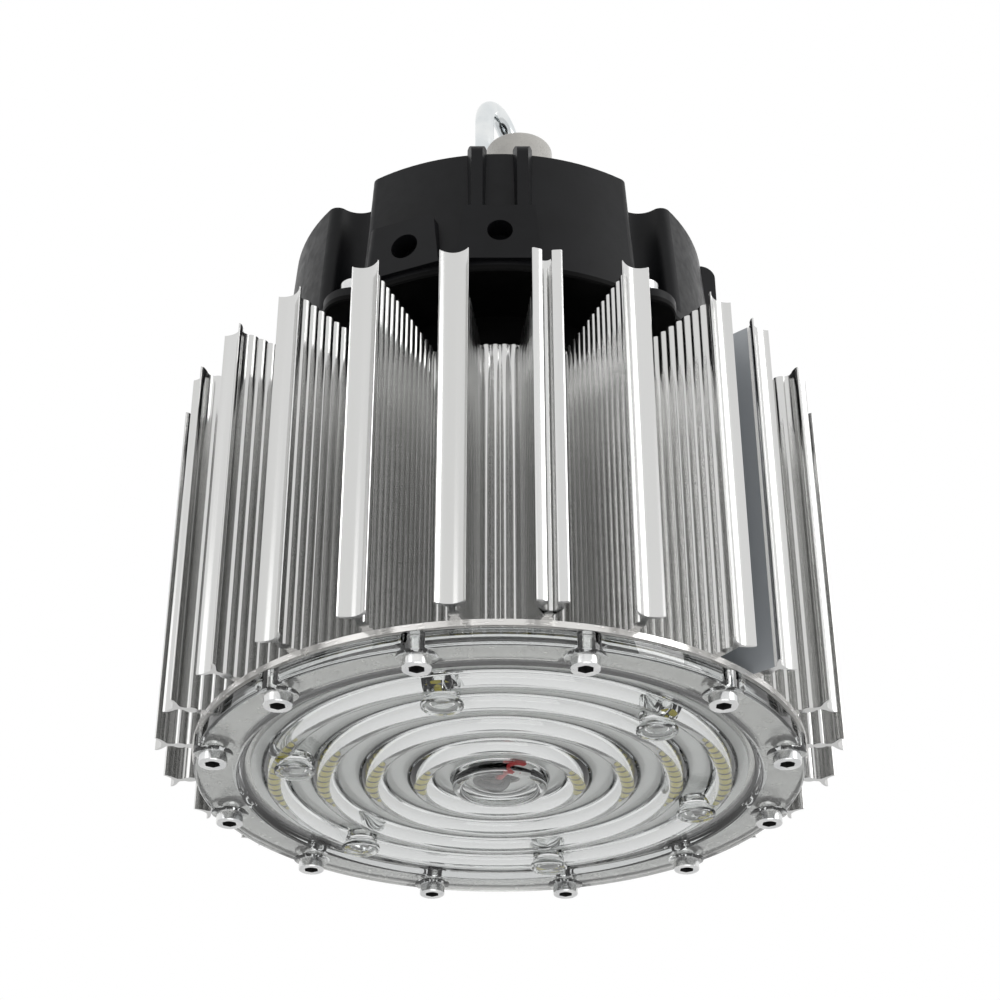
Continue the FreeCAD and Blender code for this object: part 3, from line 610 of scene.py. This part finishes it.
def socket_screw(head_radius, head, shank_radius, top, across, place):
    """A cap screw hanging head down from z = 0, its hexagon socket sunk in the lower face."""
    form = bmesh.new()
    outline = [(head_radius - 0.55, 0.0), (head_radius - 0.25, 0.12), (head_radius, 0.5),
               (head_radius, head), (shank_radius, head), (shank_radius, top), (0, top)]
    rings = []
    segments = 36
    corner = across / math.sqrt(3)
    depth = head * 0.75

    def circle(radius, z, hexagonal=False):
        ring = []
        for k in range(segments):
            turn = 2 * math.pi * k / segments
            r = radius
            if hexagonal:
                side = (turn + math.pi / 6) % (math.pi / 3) - math.pi / 6
                r = radius * math.cos(math.pi / 6) / math.cos(side)
            ring.append(form.verts.new(((place[0] + r * math.cos(turn)) * MM,
                                        (place[1] + r * math.sin(turn)) * MM, z * MM)))
        return ring

    rings.append(circle(corner, depth, True))
    rings.append(circle(corner, 0.25, True))
    rings.append(circle(corner + 0.3, 0.0))
    for r, z in outline[:-1]:
        rings.append(circle(r, z))
    for low_ring, high_ring in zip(rings, rings[1:]):
        for k in range(segments):
            m = (k + 1) % segments
            form.faces.new((low_ring[k], low_ring[m], high_ring[m], high_ring[k]))
    form.faces.new(rings[0])
    form.faces.new(rings[-1])
    # The socket's walls and floor take the second, near-black material: painted shade in the recess.
    for face in form.faces:
        middle = face.calc_center_median() / MM
        inside = math.hypot(middle.x - place[0], middle.y - place[1]) < corner + 0.1
        if inside and 0.2 < middle.z < depth + 0.1:
            face.material_index = 1
    bmesh.ops.recalc_face_normals(form, faces=form.faces)
    return form


screws = as_object("cap_screws", [socket_screw(5.0, 4.0, 3.0, 12.9, 5.0, at(*place))
                                  for place in SCREW_PLACES])
screw_mesh = screws.data
bpy.data.objects.remove(screws)
keep("cap_screws", screw_mesh, screw_steel, "screw_steel", "lens_screws", sharp=25)
# Second material: the near-black painted shade of the sockets.
screw_mesh.materials.append(socket_painted_shade)


# ------------------------------------------------------------------ leads in the lens cup

def wire(points, radius):
    """A round wire along a smooth path."""
    curve = bpy.data.curves.new("wire", "CURVE")
    curve.dimensions = "3D"
    curve.bevel_depth = radius * MM
    curve.bevel_resolution = 4
    curve.resolution_u = 8
    curve.use_fill_caps = True
    path = curve.splines.new("BEZIER")
    path.bezier_points.add(len(points) - 1)
    for point, place in zip(path.bezier_points, points):
        point.co = [c * MM for c in place]
        point.handle_left_type = "AUTO"
        point.handle_right_type = "AUTO"
    holder = bpy.data.objects.new("wire", curve)
    mesh = bpy.data.meshes.new_from_object(holder)
    bpy.data.objects.remove(holder)
    mesh.materials.clear()
    return mesh


DUCT_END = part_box("red_lead")[1].z / MM - 0.2
red_path = [(5.6, -9.6, 7.7), (7.4, -12.4, 7.4), (4.8, -12.8, 7.2), (1.6, -7.6, 7.3), (-0.2, -3.4, 7.4),
            (-0.6, -0.6, 10.5), (-1.0, 0.4, 16.0), (-1.4, 1.2, 60.0), (-1.4, 1.6, DUCT_END)]
black_path = [(3.4, -8.6, 7.7), (-3.5, -7.4, 7.5), (-8.8, -1.6, 7.4), (-5.6, 4.0, 7.3), (0.2, 6.6, 7.3),
              (2.6, 4.2, 9.0), (2.4, 2.6, 16.0), (1.6, 2.6, 60.0), (1.6, 2.6, DUCT_END)]
keep("red_wire", wire(red_path, 1.4), red_cover, "lead_red", "red_lead", sharp=60)
keep("black_wire", wire(black_path, 1.5), black_cover, "lead_black", "black_lead", sharp=60)


# ------------------------------------------------------------------ hanging eye

EYE_TURN = 27.3
EYE_WIRE = 4.05
EYE_BEND = 13.5
EYE_LEG = 26.0
BEND_STEPS = 24
ROUND_WIRE = 28


def eye_mesh():
    """The eye bent from round wire, its collar and the shank that goes down into the housing."""
    low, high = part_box("eye_bolt")
    bottom = low.z / MM
    upper = high.z / MM - EYE_WIRE - EYE_BEND
    lower = upper - EYE_LEG
    foot = lower - EYE_BEND - EYE_WIRE
    heading = math.radians(90 - EYE_TURN)
    along = (math.cos(heading), math.sin(heading))
    path = []
    for middle, start in ((upper, 0), (lower, math.pi)):
        for k in range(BEND_STEPS + 1):
            turn = start + math.pi * k / BEND_STEPS
            path.append((EYE_BEND * math.cos(turn), middle + EYE_BEND * math.sin(turn), turn))
    form = bmesh.new()
    rings = []
    for u, z, turn in path:
        ring = []
        for k in range(ROUND_WIRE):
            around = 2 * math.pi * k / ROUND_WIRE
            out = EYE_WIRE * math.cos(around)
            side = EYE_WIRE * math.sin(around)
            reach = u + out * math.cos(turn)
            ring.append(form.verts.new(((reach * along[0] - side * along[1]) * MM,
                                        (reach * along[1] + side * along[0]) * MM,
                                        (z + out * math.sin(turn)) * MM)))
        rings.append(ring)
    for i, ring in enumerate(rings):
        other = rings[(i + 1) % len(rings)]
        for k in range(ROUND_WIRE):
            m = (k + 1) % ROUND_WIRE
            form.faces.new((ring[k], ring[m], other[m], other[k]))
    bmesh.ops.recalc_face_normals(form, faces=form.faces)
    collar = lathe([(0, foot - 2.0), (8.4, foot - 2.0), (9.0, foot - 1.4), (9.0, foot + 0.6),
                    (8.2, foot + 1.6), (5.2, foot + 3.4), (0, foot + 3.4)], 48)
    shank = lathe([(0, bottom), (4.4, bottom), (5.0, bottom + 0.6), (5.0, foot - 1.5),
                   (0, foot - 1.5)], 36)
    whole = as_object("eye", [form, collar, shank])
    mesh = whole.data
    bpy.data.objects.remove(whole)
    return mesh


keep("bent_eye", eye_mesh(), eye_steel, "eye_steel", "eye_bolt", sharp=30)


# ------------------------------------------------------------------ cable gland's cap

GRIP_START, GRIP_WIDTH, GRIP_STEP = 49, 8, 45


def gland_mesh():
    """The cap: a drum with eight narrow grip flats, rounded over at its mouth."""
    low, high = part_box("gland_cap")
    centre = ((low.x + high.x) / 2 / MM, (low.y + high.y) / 2 / MM)
    radius = (high.x - low.x) / 2 / MM
    floor_z = low.z / MM
    crown = high.z / MM
    turns = {a for a in range(0, 360, 2) if not 0 < (a - GRIP_START) % GRIP_STEP < GRIP_WIDTH}
    for first in range(GRIP_START, GRIP_START + 360, GRIP_STEP):
        turns |= {first % 360, (first + GRIP_WIDTH) % 360}
    turns = sorted(turns)
    form = bmesh.new()
    levels = [(7.6, floor_z), (radius, floor_z), (radius, crown - 0.7), (radius - 0.2, crown - 0.2),
              (radius - 0.7, crown), (8.3, crown), (7.6, crown - 0.6)]
    rings = [[form.verts.new(((centre[0] + r * math.sin(math.radians(a))) * MM,
                              (centre[1] - r * math.cos(math.radians(a))) * MM, z * MM))
              for a in turns] for r, z in levels]
    for i, ring in enumerate(rings):
        other = rings[(i + 1) % len(rings)]
        for k in range(len(turns)):
            m = (k + 1) % len(turns)
            form.faces.new((ring[k], other[k], other[m], ring[m]))
    bmesh.ops.recalc_face_normals(form, faces=form.faces)
    mesh = bpy.data.meshes.new("gland_nut")
    form.to_mesh(mesh)
    form.free()
    return mesh


keep("gland_nut", gland_mesh(), gland_grey, "gland_grey", "gland_cap", sharp=3.2)


# ------------------------------------------------------------------ studio

LAMP_TARGET = Vector((0, 0, 0.14))


def area_light(name, place, size, energy):
    """A white rectangular lamp that faces the light's middle. Places and sizes are in metres."""
    lamp = bpy.data.lights.new(name, "AREA")
    lamp.shape = "RECTANGLE"
    lamp.size, lamp.size_y = size
    lamp.energy = energy
    light = bpy.data.objects.new(name, lamp)
    light.location = place
    light.rotation_euler = (LAMP_TARGET - Vector(place)).to_track_quat("-Z", "Y").to_euler()
    bpy.context.scene.collection.objects.link(light)


area_light("key", (1.7, -0.9, 0.7), (0.9, 1.4), 15)
area_light("fill", (-1.5, -1.5, 0.4), (1.0, 1.4), 4)
area_light("under", (0.2, -1.1, -1.1), (1.2, 0.8), 3)
area_light("back", (0.4, 1.8, 1.2), (1.4, 0.8), 8)

FLOOR_REACH = 8.0
FLOOR_Z = -1.6
floor_mesh = bpy.data.meshes.new("floor")
floor_mesh.from_pydata([(x * FLOOR_REACH, y * FLOOR_REACH, FLOOR_Z)
                        for x, y in ((-1, -1), (1, -1), (1, 1), (-1, 1))], [], [(0, 1, 2, 3)])
floor = bpy.data.objects.new("floor", floor_mesh)
bpy.context.scene.collection.objects.link(floor)
floor_mat = new_material("floor_mat", (0.86, 0.86, 0.86), 0.0, 0.8)
floor_mesh.materials.append(floor_mat)
floor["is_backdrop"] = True


def studio_world(level):
    """Even light of one level, and a white background that the camera, metal and glass see."""
    world = bpy.data.worlds.new("studio")
    bpy.context.scene.world = world
    world.use_nodes = True
    tree = world.node_tree
    tree.nodes.clear()
    path = tree.nodes.new("ShaderNodeLightPath")
    seen = path.outputs["Is Camera Ray"]
    for other in ("Is Glossy Ray", "Is Transmission Ray"):
        either = tree.nodes.new("ShaderNodeMath")
        either.operation = "MAXIMUM"
        tree.links.new(seen, either.inputs[0])
        tree.links.new(path.outputs[other], either.inputs[1])
        seen = either.outputs["Value"]
    mix = tree.nodes.new("ShaderNodeMixShader")
    tree.links.new(seen, mix.inputs["Fac"])
    for slot, strength in ((1, level), (2, 1.0)):
        background = tree.nodes.new("ShaderNodeBackground")
        background.inputs["Color"].default_value = (1, 1, 1, 1)
        background.inputs["Strength"].default_value = strength
        tree.links.new(background.outputs["Background"], mix.inputs[slot])
    output = tree.nodes.new("ShaderNodeOutputWorld")
    tree.links.new(mix.outputs["Shader"], output.inputs["Surface"])


EVEN_LIGHT = 0.85
studio_world(EVEN_LIGHT)

camera_data = bpy.data.cameras.new("camera")
camera_data.lens = 72.55
camera_data.sensor_width = 36.0
camera = bpy.data.objects.new("camera", camera_data)
camera.location = (-0.0033, -0.67516, -0.28907)
camera.rotation_euler = [math.radians(a) for a in (121.5265, 0.1027, -0.2396)]
bpy.context.scene.collection.objects.link(camera)
bpy.context.scene.camera = camera
bpy.context.scene.view_settings.view_transform = "Standard"

low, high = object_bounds()
